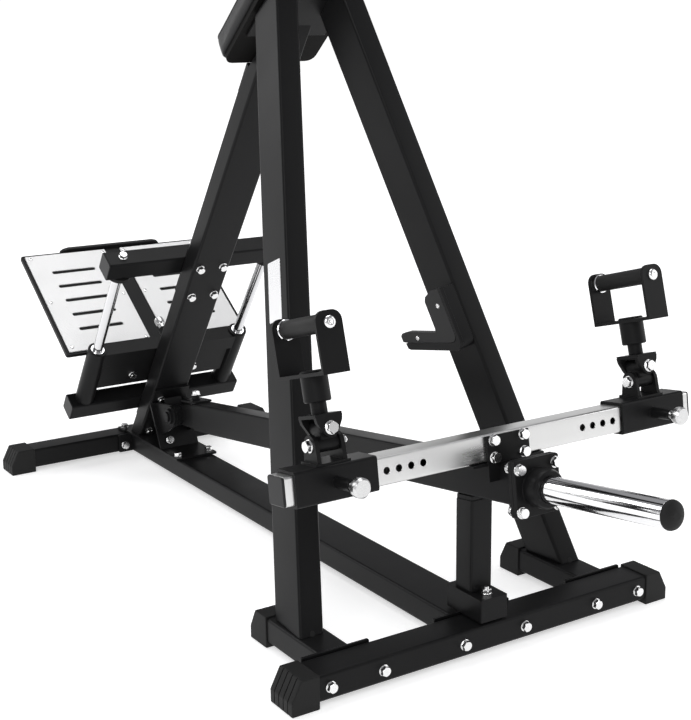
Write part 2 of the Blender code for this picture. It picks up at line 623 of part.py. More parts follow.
def build_handle(lever, side, sign):
    """Sliding sleeve with its locking pin, universal joint, swivel bracket and grip."""
    slide = frame(f"sleeve_slide_{side}", lever, (sign * SLEEVE_X, -BAR_F, BAR_Z))
    inner_d = BAR_D + 0.001
    inner_h = BAR_H + 0.001
    outer = rect(inner_d + 2 * SLEEVE_WALL, inner_h + 2 * SLEEVE_WALL, 0.005)
    inner = rect(inner_d, inner_h, 0.003)
    half = SLEEVE_L / 2
    tube = [(outer, -half), (outer, half), (inner, half), (inner, -half)]
    sleeve = place(f"handle_sleeve_{side}", loft("X", tube, closed=True), BLACK_STEEL, slide)
    roof = inner_h / 2 + SLEEVE_WALL
    face = -inner_d / 2 - SLEEVE_WALL
    base = block((-0.034, JOINT_BACK - 0.026, roof - 0.002), (0.034, JOINT_BACK + 0.026, roof + 0.004))
    combine(sleeve, "UNION", base)
    ear = [(JOINT_BACK - 0.0225, roof + 0.002)] + arc((JOINT_BACK, JOINT_UP), 0.0185, 180, 0) + [(JOINT_BACK + 0.0225, roof + 0.002)]
    for edge in (-1, 1):
        faces = sorted((edge * 0.0215, edge * 0.0290))
        combine(sleeve, "UNION", slab("X", ear, *faces))
    combine(sleeve, "DIFFERENCE", rod("X", TRUNNION_R + GAP, -0.05, 0.05, centre=(JOINT_BACK, JOINT_UP), steps=5))
    combine(sleeve, "UNION", rod("Y", 0.0105, face - 0.045, face + 0.002, steps=5))
    combine(sleeve, "DIFFERENCE", rod("Y", 0.0052, face - 0.050, face + 0.008, steps=5))

    pull = frame(f"sleeve_pin_slide_{side}", slide)
    tip = -BAR_D / 2 - 0.0006
    neck = face - 0.045 - GAP
    knob = [
        (circle(0.0048, 5), tip), (circle(0.0048, 5), neck), (circle(0.0085, 5), neck), (circle(0.0085, 5), neck - 0.009),
        (circle(0.0130, 5), neck - 0.011), (circle(0.0172, 5), neck - 0.018), (circle(0.0172, 5), neck - 0.027),
        (circle(0.0140, 5), neck - 0.031),
    ]
    place(f"sleeve_pin_{side}", loft("Y", knob), CHROME, pull)

    pitch = frame(f"handle_pitch_{side}", slide, (0, JOINT_BACK, JOINT_UP), -JOINT_LEAN)
    cross = place(f"joint_cross_{side}", rod("X", 0.0140, -0.0210, 0.0210), BLACK_STEEL, pitch)
    combine(cross, "UNION", rod("Y", 0.0140, -0.0200, 0.0200, centre=(0, ROLL_UP)))
    combine(cross, "UNION", block((-0.0120, -0.0120, 0), (0.0120, 0.0120, ROLL_UP)))
    combine(cross, "UNION", rod("X", TRUNNION_R, -0.0300, 0.0300, steps=5))
    combine(cross, "UNION", rod("Y", TRUNNION_R, -0.0300, 0.0300, centre=(0, ROLL_UP), steps=5))

    roll = frame(f"handle_roll_{side}", pitch, (0, 0, ROLL_UP))
    crown = 0.0240
    yoke = place(f"joint_yoke_{side}", block((-0.0260, -0.0290, crown - 0.006), (0.0260, 0.0290, crown)), BLACK_STEEL, roll)
    ear = [(0.0260, crown - 0.004), (-0.0260, crown - 0.004), (-0.0240, 0.010)] + arc((0, 0), 0.0160, 200, 340) + [(0.0240, 0.010)]
    for edge in (-1, 1):
        faces = sorted((edge * 0.0205, edge * 0.0290))
        combine(yoke, "UNION", slab("Y", ear, *faces))
    combine(yoke, "DIFFERENCE", rod("Y", TRUNNION_R + GAP, -0.05, 0.05, steps=5))
    neck_top = STRAP_UP + 0.002 - ROLL_UP
    combine(yoke, "UNION", rod("Z", 0.0140, crown - 0.002, neck_top))

    swivel = frame(f"handle_swivel_{side}", roll, (0, 0, SWIVEL_UP - ROLL_UP))
    strap_low = STRAP_UP - SWIVEL_UP
    strap_high = strap_low + STRAP_T
    grip_z = GRIP_UP - SWIVEL_UP
    bore = circle(0.0144)
    body = circle(HOUSING_R)
    rim = circle(HOUSING_R - 0.002)
    lid = strap_high + 0.004
    housing = [(bore, -0.002), (rim, -0.002), (body, 0), (body, lid - 0.002), (rim, lid), (bore, lid)]
    bracket = place(f"handle_bracket_{side}", loft("Z", housing, closed=True), BLACK_STEEL, swivel)
    outer_y = STRAP_HALF + STRAP_T
    strap = [(-outer_y, strap_low), (outer_y, strap_low), (outer_y, strap_high), (-outer_y, strap_high)]
    floor = slab("X", strap, -STRAP_W / 2, STRAP_W / 2)
    combine(bracket, "UNION", floor)
    radius = 0.018
    edge = STRAP_W / 2
    top = grip_z + 0.020 - radius
    cheek = [(-edge, strap_low), (edge, strap_low)] + arc((edge - radius, top), radius, 0, 90, 6)
    cheek += arc((radius - edge, top), radius, 90, 180, 6)
    for edge in (-1, 1):
        faces = sorted((edge * STRAP_HALF, edge * outer_y))
        combine(bracket, "UNION", slab("Y", cheek, *faces))
    combine(bracket, "DIFFERENCE", rod("Y", 0.0053, -0.09, 0.09, centre=(0, grip_z), steps=5))
    combine(bracket, "DIFFERENCE", rod("Z", 0.0144, strap_low - 0.01, strap_high + 0.002))

    spin = frame(f"grip_spin_{side}", swivel, (0, 0, grip_z))
    half = STRAP_HALF - GAP
    pin = circle(0.0050)
    collar = circle(0.0185)
    soft = circle(GRIP_R)
    grip = [
        (pin, -outer_y), (pin, -half), (collar, -half), (collar, 0.0060 - half), (soft, 0.0060 - half),
        (soft, half - 0.0060), (collar, half - 0.0060), (collar, half), (pin, half), (pin, outer_y),
    ]
    place(f"handle_grip_{side}", loft("Y", grip), RUBBER, spin)


build_base()
build_frame()
build_chest_pad()
build_rest_post()
build_hook()
build_guides()
build_foot_plate()
build_pivot()
build_lever()
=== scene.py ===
"""Row machine: surfaces, fasteners, cushion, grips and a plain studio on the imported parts."""

import json
from math import cos, pi, radians, sin, sqrt

import bmesh
import bpy
from mathutils import Matrix, Vector
from mathutils.bvhtree import BVHTree


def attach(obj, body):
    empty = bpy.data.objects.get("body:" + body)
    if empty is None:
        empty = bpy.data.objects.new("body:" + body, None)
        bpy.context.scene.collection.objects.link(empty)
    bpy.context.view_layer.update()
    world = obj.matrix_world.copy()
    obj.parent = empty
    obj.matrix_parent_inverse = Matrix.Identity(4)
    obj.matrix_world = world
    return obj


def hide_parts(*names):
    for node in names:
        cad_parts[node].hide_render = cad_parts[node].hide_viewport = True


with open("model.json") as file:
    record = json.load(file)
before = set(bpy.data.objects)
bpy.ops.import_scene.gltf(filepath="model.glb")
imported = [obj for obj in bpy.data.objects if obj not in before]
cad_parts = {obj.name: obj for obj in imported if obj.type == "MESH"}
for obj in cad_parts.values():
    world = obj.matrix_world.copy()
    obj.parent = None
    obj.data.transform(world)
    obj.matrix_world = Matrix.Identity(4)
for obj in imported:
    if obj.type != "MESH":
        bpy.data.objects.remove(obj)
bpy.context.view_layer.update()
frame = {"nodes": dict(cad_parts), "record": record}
nodes = frame["nodes"]

SIDES = (("left", -1), ("right", 1))


# Dimensions of the machine at rest, in metres and degrees, as in the solid parts.
Y_CENTRE = 0.6500
BEAM_ORIGIN, BEAM_RISE = (0, 1.6291, -0.1473), 54.26
PAD_ORIGIN, PAD_RISE = (0, 0.8000, 1.0655), 39
PIVOT, LEVER_RISE = (0, 1.2753, 0.1697), 7.79
LEG_X, LEG_Y, LEG_IN, LEG_BACK = 0.3232, 0.1717, 10.9, 21.03
LEG_HALF_W, LEG_HALF_D = 0.0250, 0.0500
SLEEVE_X, BAR_FORWARD, BAR_UP = 0.3617, 1.294, 0.067
JOINT_BACK, JOINT_UP, JOINT_LEAN = 0.0016, 0.062, 7.71
JOINT_EAR = 0.0290
ROLL_UP, GRIP_UP, CHEEK = 0.026, 0.1972, 0.0763
GUIDE_X, GUIDE_BACK = 0.203, 0.076
UPPER_S, LOWER_S, MEMBER_HALF = 0.8610, 0.3465, 0.2430
MEMBER_MIDDLE = 0.0753
TREAD_S, FOOT_BACK = 0.5143, 0.113
CLAMP_FACE, HORN_PLATE, LEVER_END = 1.3253, 1.3997, 1.3814
PAD_W, PAD_L, PAD_T, PAD_LOW, PAD_CORNER = 0.234, 0.414, 0.056, 0.0176, 0.026


def turned(point, tilt=0):
    return Matrix.Translation(point) @ Matrix.Rotation(radians(tilt), 4, "X")


MACHINE = turned((0, -Y_CENTRE, 0))
BEAM = MACHINE @ turned(BEAM_ORIGIN, 90 - BEAM_RISE)
PAD = MACHINE @ turned(PAD_ORIGIN, -PAD_RISE)
LEVER = MACHINE @ turned(PIVOT, -LEVER_RISE)


def leg_frame(sign):
    """Frame of a leg: x across, y deep to the rear, z along the leg."""
    inward, back = radians(LEG_IN), radians(LEG_BACK)
    along = Vector((-sign * sin(inward), sin(back) * cos(inward), cos(back) * cos(inward)))
    deep = Vector((0, cos(back), -sin(back)))
    matrix = Matrix((deep.cross(along), deep, along)).transposed().to_4x4()
    matrix.translation = (sign * LEG_X, LEG_Y, 0)
    return MACHINE @ matrix


def slide_frame(sign):
    return LEVER @ turned((sign * SLEEVE_X, -BAR_FORWARD, BAR_UP))


def pitch_frame(sign):
    return slide_frame(sign) @ turned((0, JOINT_BACK, JOINT_UP), -JOINT_LEAN)


def surface(
    name, colour, metallic=0.0, rough=0.5, spread=0.05, grain=500, bump=0.1,
    stretch=(1, 1, 1), cells=0, tint=0.06, **sockets,
):
    """A surface made of nodes. grain and cells are per metre; cells adds a cellular relief."""
    made = bpy.data.materials.new(name)
    made.use_nodes = True
    tree = made.node_tree
    shader = tree.nodes["Principled BSDF"]

    def node(kind, **values):
        item = tree.nodes.new(kind)
        for key, value in values.items():
            item.inputs[key].default_value = value
        return item

    def link(source, target):
        tree.links.new(source, target)

    where = node("ShaderNodeTexCoord")
    mapping = node("ShaderNodeMapping", Scale=stretch)
    link(where.outputs["Object"], mapping.inputs["Vector"])
    fine = node("ShaderNodeTexNoise", Scale=grain, Detail=4.0, Roughness=0.6)
    broad = node("ShaderNodeTexNoise", Scale=7.0, Detail=3.0)
    link(mapping.outputs["Vector"], fine.inputs["Vector"])
    link(where.outputs["Object"], broad.inputs["Vector"])

    # Roughness from 0.6 of the broad noise and 0.4 of the fine one.
    mixed = node("ShaderNodeMath")
    mixed.operation = "MULTIPLY_ADD"
    mixed.inputs[1].default_value = 0.6
    link(broad.outputs["Fac"], mixed.inputs[0])
    share = node("ShaderNodeMath")
    share.operation = "MULTIPLY"
    share.inputs[1].default_value = 0.4
    link(fine.outputs["Fac"], share.inputs[0])
    link(share.outputs[0], mixed.inputs[2])
    level = node("ShaderNodeMapRange")
    level.inputs["From Min"].default_value = 0.3
    level.inputs["From Max"].default_value = 0.7
    level.inputs["To Min"].default_value = rough - spread
    level.inputs["To Max"].default_value = rough + spread
    link(mixed.outputs[0], level.inputs["Value"])
    link(level.outputs["Result"], shader.inputs["Roughness"])

    # Colour, a little darker and lighter across the piece.
    shade = node("ShaderNodeMix")
    shade.data_type = "RGBA"
    shade.inputs[6].default_value = (*[c * (1 - tint) for c in colour], 1)
    shade.inputs[7].default_value = (*[min(1, c * (1 + tint)) for c in colour], 1)
    link(broad.outputs["Fac"], shade.inputs[0])
    link(shade.outputs[2], shader.inputs["Base Color"])

    relief = node("ShaderNodeBump", Strength=bump, Distance=0.0004)
    height = fine.outputs["Fac"]
    if cells:
        pattern = node("ShaderNodeTexVoronoi", Scale=cells)
        link(mapping.outputs["Vector"], pattern.inputs["Vector"])
        height = pattern.outputs["Distance"]
    link(height, relief.inputs["Height"])
    link(relief.outputs["Normal"], shader.inputs["Normal"])
    shader.inputs["Metallic"].default_value = metallic
    for key, value in sockets.items():
        shader.inputs[key.replace("_", " ")].default_value = value
    return made


BLACK = surface(
    "black_powder_coat", (0.0075, 0.0075, 0.0078), rough=0.38, grain=900, bump=0.12, IOR=1.20,
)
CHROME = surface("chrome_plate", (0.86, 0.86, 0.87), 1.0, 0.085, 0.03, 60, 0.0, tint=0.01)
ROD = surface("hard_chrome_rod", (0.66, 0.66, 0.67), 1.0, 0.16, 0.03, 60, 0.0, tint=0.01)
ZINC = surface("bright_bolt_plate", (0.80, 0.80, 0.80), 1.0, 0.20, 0.05, 300, 0.05, tint=0.03)
KNOB = surface("satin_knob", (0.62, 0.62, 0.62), 1.0, 0.27, 0.05, 400, 0.05, tint=0.02)
SATIN = surface(
    "brushed_bar_plate", (0.62, 0.62, 0.615), 1.0, 0.31, 0.05, 300, 0.10, stretch=(0.02, 1, 1), tint=0.03,
)
TREAD = surface("peened_aluminium", (0.66, 0.66, 0.66), 0.55, 0.50, 0.08, 300, 0.9, cells=260, tint=0.03)
RUBBER = surface(
    "black_rubber", (0.0095, 0.0095, 0.0095), rough=0.60, grain=700, bump=0.22, IOR=1.28,
)
GRIP = surface(
    "moulded_grip_rubber", (0.010, 0.010, 0.010), rough=0.55, grain=900, bump=0.30, cells=520, IOR=1.30,
)
PLASTIC = surface(
    "black_plastic", (0.010, 0.010, 0.0105), rough=0.42, grain=800, bump=0.10, IOR=1.30,
)
VINYL = surface(
    "grained_vinyl", (0.0095, 0.0095, 0.0100), rough=0.40, grain=600, bump=0.30, cells=650,
    IOR=1.28, Coat_Weight=0.04, Coat_Roughness=0.35,
)
BOARD = surface(
    "painted_board", (0.0060, 0.0058, 0.0056), rough=0.60, grain=220, bump=0.25, stretch=(1, 8, 1), IOR=1.15,
)
LABEL = surface("silver_label", (0.80, 0.80, 0.81), 0.9, 0.28, 0.04, 260, 0.05, tint=0.02)
# Painted shade: a flat near-black matte surface that stands in for the shade inside a recess.
PAINTED_SHADE = surface("painted_recess_shade", (0.004, 0.004, 0.004), rough=0.85, grain=400, bump=0.05)


def turning(mesh, sections, steps=48, close=True):
    """A turned piece. A section is (radius, height) or (radius, height, flats), cut to a hexagon."""
    rings = []
    for section in sections:
        radius, height, flats = (*section, None)[:3]
        ring = []
        for step in range(steps):
            angle = 2 * pi * step / steps
            reach = radius
            if flats:
                reach = min(reach, flats / 2 / cos((angle % (pi / 3)) - pi / 6))
            ring.append(mesh.verts.new((reach * cos(angle), reach * sin(angle), height)))
        rings.append(ring)
    for low, high in zip(rings, rings[1:]):
        for step in range(steps):
            after = (step + 1) % steps
            mesh.faces.new((low[step], low[after], high[after], high[step]))
    if close:
        mesh.faces.new(reversed(rings[0]))
        mesh.faces.new(rings[-1])
    return mesh


def tube_along(mesh, path, radius, sides=10):
    """A round cord along a closed path."""
    count = len(path)
    rings = []
    for index, point in enumerate(path):
        ahead = (path[(index + 1) % count] - path[index - 1]).normalized()
        out = ahead.cross(Vector((0, 0, 1)))
        out = out.normalized() if out.length > 1e-6 else Vector((1, 0, 0))
        rise = ahead.cross(out)
        rings.append([
            mesh.verts.new(point + radius * (out * cos(2 * pi * s / sides) + rise * sin(2 * pi * s / sides)))
            for s in range(sides)
        ])
    for index in range(count):
        low, high = rings[index], rings[(index + 1) % count]
        for s in range(sides):
            t = (s + 1) % sides
            mesh.faces.new((low[s], low[t], high[t], high[s]))
    return mesh


def slab(mesh, outline, low, high, edge=0.0006):
    """A plate with softened rims: outline in x and y."""
    middle = sum((Vector(p) for p in outline), Vector((0, 0))) / len(outline)

    def ring(shrink, height):
        made = []
        for point in outline:
            arm = Vector(point) - middle
            made.append(mesh.verts.new((*(middle + arm * (1 - shrink / arm.length)), height)))
        return made

    rings = [ring(edge, low), ring(0, low + edge), ring(0, high - edge), ring(edge, high)]
    for first, second in zip(rings, rings[1:]):
        for index in range(len(outline)):
            after = (index + 1) % len(outline)
            mesh.faces.new((first[index], first[after], second[after], second[index]))
    mesh.faces.new(reversed(rings[0]))
    mesh.faces.new(rings[-1])
    return mesh


def rounded(width, length, radius, steps=6, centre=(0, 0)):
    """Outline of a rectangle with round corners."""
    points = []
    for quarter, (a, b) in enumerate(((1, 1), (-1, 1), (-1, -1), (1, -1))):
        for step in range(steps + 1):
            angle = pi / 2 * (quarter + step / steps)
            points.append((
                centre[0] + a * (width / 2 - radius) + radius * cos(angle),
                centre[1] + b * (length / 2 - radius) + radius * sin(angle),
            ))
    return points


def finished(name, mesh, look, smooth=32):
    """The mesh as data with its surface, sharp where faces turn more than smooth degrees."""
    bmesh.ops.recalc_face_normals(mesh, faces=mesh.faces)
    data = bpy.data.meshes.new(name)
    mesh.to_mesh(data)
    mesh.free()
    data.shade_smooth()
    data.set_sharp_from_angle(angle=radians(smooth))
    data.materials.append(look)
    return data


def shown(name, data, matrix, body):
    """Puts a piece in its place, riding on a body."""
    obj = bpy.data.objects.new(name, data)
    bpy.context.scene.collection.objects.link(obj)
    obj.matrix_world = matrix
    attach(obj, body)
    return obj


def aimed(base, point, normal, spin=0):
    """A frame at a point of a part, its z along the normal."""
    place = Vector(normal).to_track_quat("Z", "Y").to_matrix().to_4x4()
    place.translation = point
    return base @ place @ Matrix.Rotation(radians(spin), 4, "Z")


# Fasteners. Each one stands on the plane z = 0 and is sunk into it by SINK.
SINK = 0.0001
WASHER_T = 0.0016


def hex_bolt(flats=0.017, high=0.0085, outer=0.0105):
    """A washer and a hexagon head with a chamfered top."""
    mesh = turning(bmesh.new(), [(outer, -SINK), (outer, WASHER_T - 0.0003), (outer - 0.0004, WASHER_T)])
    corner = flats / sqrt(3)
    top = WASHER_T + high
    drop = high * 0.18
    head = [
        (corner * 1.01, WASHER_T, flats),
        (corner * 1.01, top - drop, flats),
        (corner * 0.94, top - drop * 0.45, flats),
        (corner * 0.86, top, flats),
    ]
    return turning(mesh, head)


def nut():
    """A nut on its washer, with the end of the bolt standing out."""
    return turning(hex_bolt(), [(0.0050, 0.0095), (0.0050, 0.0130), (0.0042, 0.0140)], 24)


def button(outer, high, key):
    """A domed head with a hexagonal key hole."""
    dome = [(outer, -SINK), (outer, high * 0.25)]
    for step in range(1, 7):
        turn = pi / 2 * step / 7
        dome.append((key + (outer - key) * cos(turn), high * (0.25 + 0.75 * sin(turn))))
    dome.append((key * 0.93, high))
    dome.append((key * 0.90, high - 0.0003, key * 1.5))
    dome.append((key * 0.88, high * 0.3, key * 1.48))
    return turning(bmesh.new(), dome)


KINDS = {
    "hex": finished("hex_bolt_mesh", hex_bolt(), ZINC),
    "nut": finished("nut_mesh", nut(), ZINC),
    "large": finished("large_hex_bolt_mesh", hex_bolt(0.0185, 0.0080, 0.0118), ZINC),
    "button": finished("button_head_mesh", button(0.0110, 0.0056, 0.0052), ZINC),
    "screw": finished("button_screw_mesh", button(0.0052, 0.0024, 0.0026), ZINC),
}


def fasten(group, kind, base, points, normal, body):
    """Fasteners of one kind at points of a part, each turned a little further than the last."""
    for index, point in enumerate(points, 1):
        shown(f"{group}_{index}", KINDS[kind], aimed(base, point, normal, 17 * index), body)


def pairs(reach, *rest):
    """A point on the left and its mirror on the right."""
    return [(-reach, *rest), (reach, *rest)]


TO_LEFT, TO_RIGHT = (-1, 0, 0), (1, 0, 0)
TO_FRONT, TO_REAR, UPWARD = (0, -1, 0), (0, 1, 0), (0, 0, 1)


def frame_fasteners():
    """Bolts of the base, the beam, the pivot bracket and the post."""
    crossbar = [(x, 0, 0.036) for x in (-0.3644, -0.2533, -0.072, 0.072, 0.2533, 0.3644)]
    fasten("crossbar_bolt", "hex", MACHINE, crossbar, TO_FRONT, "machine")
    fasten("spine_rear_bolt", "hex", MACHINE, pairs(0.069, 1.5322, 0.030), TO_FRONT, "machine")
    upper = pairs(0.031, 0, 0.895) + pairs(0.031, 0, 0.800)
    fasten("beam_upper_bolt", "hex", BEAM, upper, TO_FRONT, "machine")
    fasten("beam_lower_bolt", "hex", BEAM, pairs(0.027, 0, 0.283), TO_FRONT, "machine")
    fasten("bracket_beam_bolt", "hex", BEAM, [(-0.026, -0.0063, 0.420)], TO_FRONT, "machine")
    slope_normal = (0, -0.8928, 0.4504)
    fasten("bracket_slope_bolt", "hex", MACHINE, [(-0.025, 1.3360, 0.0857)], slope_normal, "machine")
    plate_top = 0.0673
    base_plate = pairs(0.045, 1.2500, plate_top) + pairs(0.050, 1.5750, plate_top)
    fasten("pivot_base_bolt", "hex", MACHINE, base_plate, UPWARD, "machine")
    fasten("post_foot_bolt", "nut", MACHINE, [(0, 0.0290, 0.1100)], UPWARD, "machine")


def lever_fasteners():
    clamp = pairs(0.034, -CLAMP_FACE, 0.0815) + pairs(0.034, -CLAMP_FACE, 0.0500)
    fasten("clamp_bolt", "hex", LEVER, clamp, TO_FRONT, "lever")
    front = pairs(0.041, -HORN_PLATE, 0.038) + pairs(0.041, -HORN_PLATE, -0.038)
    fasten("horn_flange_bolt", "hex", LEVER, front, TO_FRONT, "lever")
    rear = pairs(0.041, -LEVER_END, 0.038) + pairs(0.041, -LEVER_END, -0.038)
    fasten("horn_flange_nut", "nut", LEVER, rear, TO_REAR, "lever")


def guide_fasteners():
    member_top = UPPER_S + 0.0252
    fasten("guide_member_bolt", "hex", BEAM, pairs(GUIDE_X, 0.0763, member_top), UPWARD, "machine")
    fasten("carriage_bolt", "hex", BEAM, pairs(0.088, 0.0640, 0.455), TO_FRONT, "foot_plate")


def tread_screws(side, sign):
    outer = [(sign * 0.242, FOOT_BACK + t, TREAD_S) for t in (0.023, 0.187, 0.353)]
    inner = [(sign * 0.032, FOOT_BACK + t, TREAD_S) for t in (0.024, 0.190, 0.353)]
    fasten(f"tread_screw_{side}", "screw", BEAM, outer + inner, UPWARD, "foot_plate")


def lever_rear():
    """The closed rear end of the lever, and the small plate with a spacer and a bolt on its top."""
    forward = 0.0620
    spacer_top = 0.0545
    mesh = slab(bmesh.new(), rounded(0.050, 0.080, 0.003), 0.0366, 0.0416, 0.0006)
    turning(mesh, [(0.0100, 0.0414), (0.0100, spacer_top - 0.0005), (0.0095, spacer_top)])
    place = LEVER @ Matrix.Translation((0, -forward, 0))
    shown("lever_top_plate", finished("lever_top_plate", mesh, BLACK), place, "lever")
    fasten("lever_top_bolt", "large", LEVER, [(0, -forward, spacer_top)], UPWARD, "lever")
    mesh = slab(bmesh.new(), rounded(0.0498, 0.0728, 0.006), 0.0810, 0.0838, 0.0010)
    place = LEVER @ Matrix.Rotation(-pi / 2, 4, "X")
    shown("lever_rear_plug", finished("lever_rear_plug", mesh, PLASTIC), place, "lever")


def handle(side, sign):
    """Bolts of the universal joint and of the grip, and the grip with its collars."""
    slide = slide_frame(sign)
    roll = pitch_frame(sign) @ Matrix.Translation((0, 0, ROLL_UP))
    grip = roll @ Matrix.Translation((0, 0, GRIP_UP - ROLL_UP))
    pitch_left, pitch_right = pairs(JOINT_EAR, JOINT_BACK, JOINT_UP)
    fasten(f"joint_bolt_{side}", "large", slide, [pitch_left], TO_LEFT, f"sleeve_{side}")
    fasten(f"joint_nut_{side}", "nut", slide, [pitch_right], TO_RIGHT, f"sleeve_{side}")
    fasten(f"yoke_bolt_{side}", "large", roll, [(0, -JOINT_EAR, 0)], TO_FRONT, f"yoke_{side}")
    fasten(f"yoke_nut_{side}", "nut", roll, [(0, JOINT_EAR, 0)], TO_REAR, f"yoke_{side}")
    fasten(f"grip_bolt_front_{side}", "button", grip, [(0, -CHEEK, 0)], TO_FRONT, f"handle_{side}")
    fasten(f"grip_bolt_rear_{side}", "button", grip, [(0, CHEEK, 0)], TO_REAR, f"handle_{side}")

    rim = [(0.0160, 0.0600), (0.0155, 0.0630), (0.0145, 0.0640)]
    mesh = turning(bmesh.new(), [(radius, -height) for radius, height in reversed(rim)] + rim)
    data = finished(f"grip_rubber_{side}", mesh, GRIP)
    sleeve = shown(f"grip_rubber_{side}", data, grip @ Matrix.Rotation(pi / 2, 4, "X"), f"grip_{side}")
    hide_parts(f"handle_grip_{side}")
    sections = [(0.0170, 0.0640), (0.0185, 0.0650), (0.0185, 0.0690), (0.0175, 0.0698)]
    for end, flipped in (("front", True), ("rear", False)):
        mesh = turning(bmesh.new(), sections)
        if flipped:
            bmesh.ops.rotate(mesh, verts=mesh.verts, matrix=Matrix.Rotation(pi, 3, "X"))
        name = f"grip_collar_{end}_{side}"
        shown(name, finished(name, mesh, CHROME), grip @ Matrix.Rotation(-pi / 2, 4, "X"), f"grip_{side}")


def guide(side, sign):
    """Chrome ring on the bush, black collar under the upper member, and plugs in both members."""
    rod = BEAM @ Matrix.Translation((sign * GUIDE_X, GUIDE_BACK, 0))
    low, bore = 0.5598, 0.0131
    sections = [(bore, low), (0.0175, low), (0.0175, 0.5614), (0.0168, 0.5620), (bore, 0.5620)]
    mesh = turning(bmesh.new(), sections, close=False)
    shown(f"bush_ring_{side}", finished(f"bush_ring_{side}", mesh, CHROME), rod, "foot_plate")
    low, high, bore = 0.8250, 0.8357, 0.0127
    sections = [(bore, low), (0.0285, low), (0.0300, low + 0.0015), (0.0300, high), (bore, high)]
    mesh = turning(bmesh.new(), sections, close=False)
    shown(f"rod_collar_{side}", finished(f"rod_collar_{side}", mesh, RUBBER), rod, "machine")
    for member, level in (("upper", UPPER_S), ("lower", LOWER_S)):
        outline = rounded(0.0495, 0.0495, 0.005)
        mesh = slab(bmesh.new(), outline, MEMBER_HALF, MEMBER_HALF + 0.0028, 0.0010)
        turn = Matrix.Translation((0, MEMBER_MIDDLE, level)) @ Matrix.Rotation(sign * pi / 2, 4, "Y")
        name = f"guide_{member}_plug_{side}"
        shown(name, finished(name, mesh, PLASTIC), BEAM @ turn, "machine")


def painted_notch_shade(side, sign):
    """A thin dark patch of painted shade at the foot of a leg's front face, standing in for the shade of a
    small notch.
    """
    mesh = slab(bmesh.new(), rounded(0.010, 0.012, 0.0045), -0.0002, 0.0003, 0.0001)
    place = aimed(leg_frame(sign), (0, -LEG_HALF_D, 0.0520), TO_FRONT)
    shown(f"painted_notch_shade_{side}", finished(f"painted_notch_shade_{side}", mesh, PAINTED_SHADE), place, "machine")


def hook_screws():
    spots = [(-0.0613, 0.0855, 0.593), (-0.0613, -0.0221, 0.6426)]
    fasten("hook_screw", "screw", leg_frame(1), spots, TO_LEFT, "machine")


def plain_label():
    """A plain silver plate on the outer face of the left leg, its length along the leg."""
    mesh = slab(bmesh.new(), rounded(0.0505, 0.120, 0.002), -0.0001, 0.0007, 0.0002)
    turn = Matrix(((0, 0, -1, -LEG_HALF_W), (1, 0, 0, 0.0012), (0, 1, 0, 0.705), (0, 0, 0, 1)))
    shown("plain_label", finished("plain_label", mesh, LABEL), leg_frame(-1) @ turn, "machine")


frame_fasteners()
lever_fasteners()
guide_fasteners()
for side, sign in SIDES:
    handle(side, sign)
    guide(side, sign)
    painted_notch_shade(side, sign)
for side, sign in SIDES:
    tread_screws(side, sign)
hook_screws()
lever_rear()
plain_label()


# Cushion: a shell that air pressure fills while its underside is held to the board.
VOXEL = 0.005
PRESSURE = 4.0
FRAMES = 20
MOST_SWELL = 0.0045
SMOOTHINGS = 8
PAD_MIDDLE = (0, -PAD_L / 2)


def cushion_shell():
    """The closed starting shape, remeshed into even faces."""
    top = PAD_LOW + PAD_T
    levels = [
        (0.004, PAD_LOW), (0, PAD_LOW + 0.004), (0, top - 0.012), (0.004, top - 0.004), (0.012, top),
    ]
    shell = bmesh.new()
    rings = []
    for shrink, height in levels:
        width, length = PAD_W - 2 * shrink, PAD_L - 2 * shrink
        outline = rounded(width, length, PAD_CORNER - shrink, 8, PAD_MIDDLE)
        rings.append([shell.verts.new((*point, height)) for point in outline])
    for first, second in zip(rings, rings[1:]):
        for index in range(len(first)):
            after = (index + 1) % len(first)
            shell.faces.new((first[index], first[after], second[after], second[index]))
    shell.faces.new(reversed(rings[0]))
    shell.faces.new(rings[-1])
    pad = bpy.data.objects.new("cushion", finished("cushion", shell, VINYL, 60))
    bpy.context.scene.collection.objects.link(pad)
    bpy.context.view_layer.objects.active = pad
    remesh = pad.modifiers.new("shell", "REMESH")
    remesh.mode, remesh.voxel_size = "VOXEL", VOXEL
    bpy.ops.object.modifier_apply(modifier=remesh.name)
    return pad


def fill_with_air(pad):
    """Cloth under pressure, with the underside held, applied to the mesh."""
    held = pad.vertex_groups.new(name="held")
    held.add([v.index for v in pad.data.vertices if v.co.z < PAD_LOW + 0.006], 1.0, "REPLACE")
    cloth = pad.modifiers.new("fill", "CLOTH")
    settings = cloth.settings
    settings.vertex_group_mass = "held"
    settings.use_pressure, settings.uniform_pressure_force = True, PRESSURE
    settings.tension_stiffness = settings.compression_stiffness = 18
    settings.shear_stiffness, settings.bending_stiffness = 8, 1.2
    settings.quality, settings.mass = 6, 0.35
    settings.effector_weights.gravity = 0
    cloth.point_cache.frame_start, cloth.point_cache.frame_end = 1, FRAMES
    scene = bpy.context.scene
    for step in range(1, FRAMES + 1):
        scene.frame_set(step)
    bpy.ops.object.modifier_apply(modifier=cloth.name)
    scene.frame_set(1)


def limit_swell(pad, rest):
    for vertex, start in zip(pad.data.vertices, rest):
        moved = vertex.co - start
        if moved.length > MOST_SWELL:
            vertex.co = start + moved * (MOST_SWELL / moved.length)
        vertex.co.z = max(vertex.co.z, PAD_LOW + 0.0001)


def smooth_cover(pad):
    for _ in range(SMOOTHINGS):
        mesh = bmesh.new()
        mesh.from_mesh(pad.data)
        free = [v for v in mesh.verts if v.co.z > PAD_LOW + 0.003]
        axes = {"use_axis_x": True, "use_axis_y": True, "use_axis_z": True}
        bmesh.ops.smooth_vert(mesh, verts=free, factor=0.5, **axes)
        mesh.to_mesh(pad.data)
        mesh.free()
    pad.data.shade_smooth()


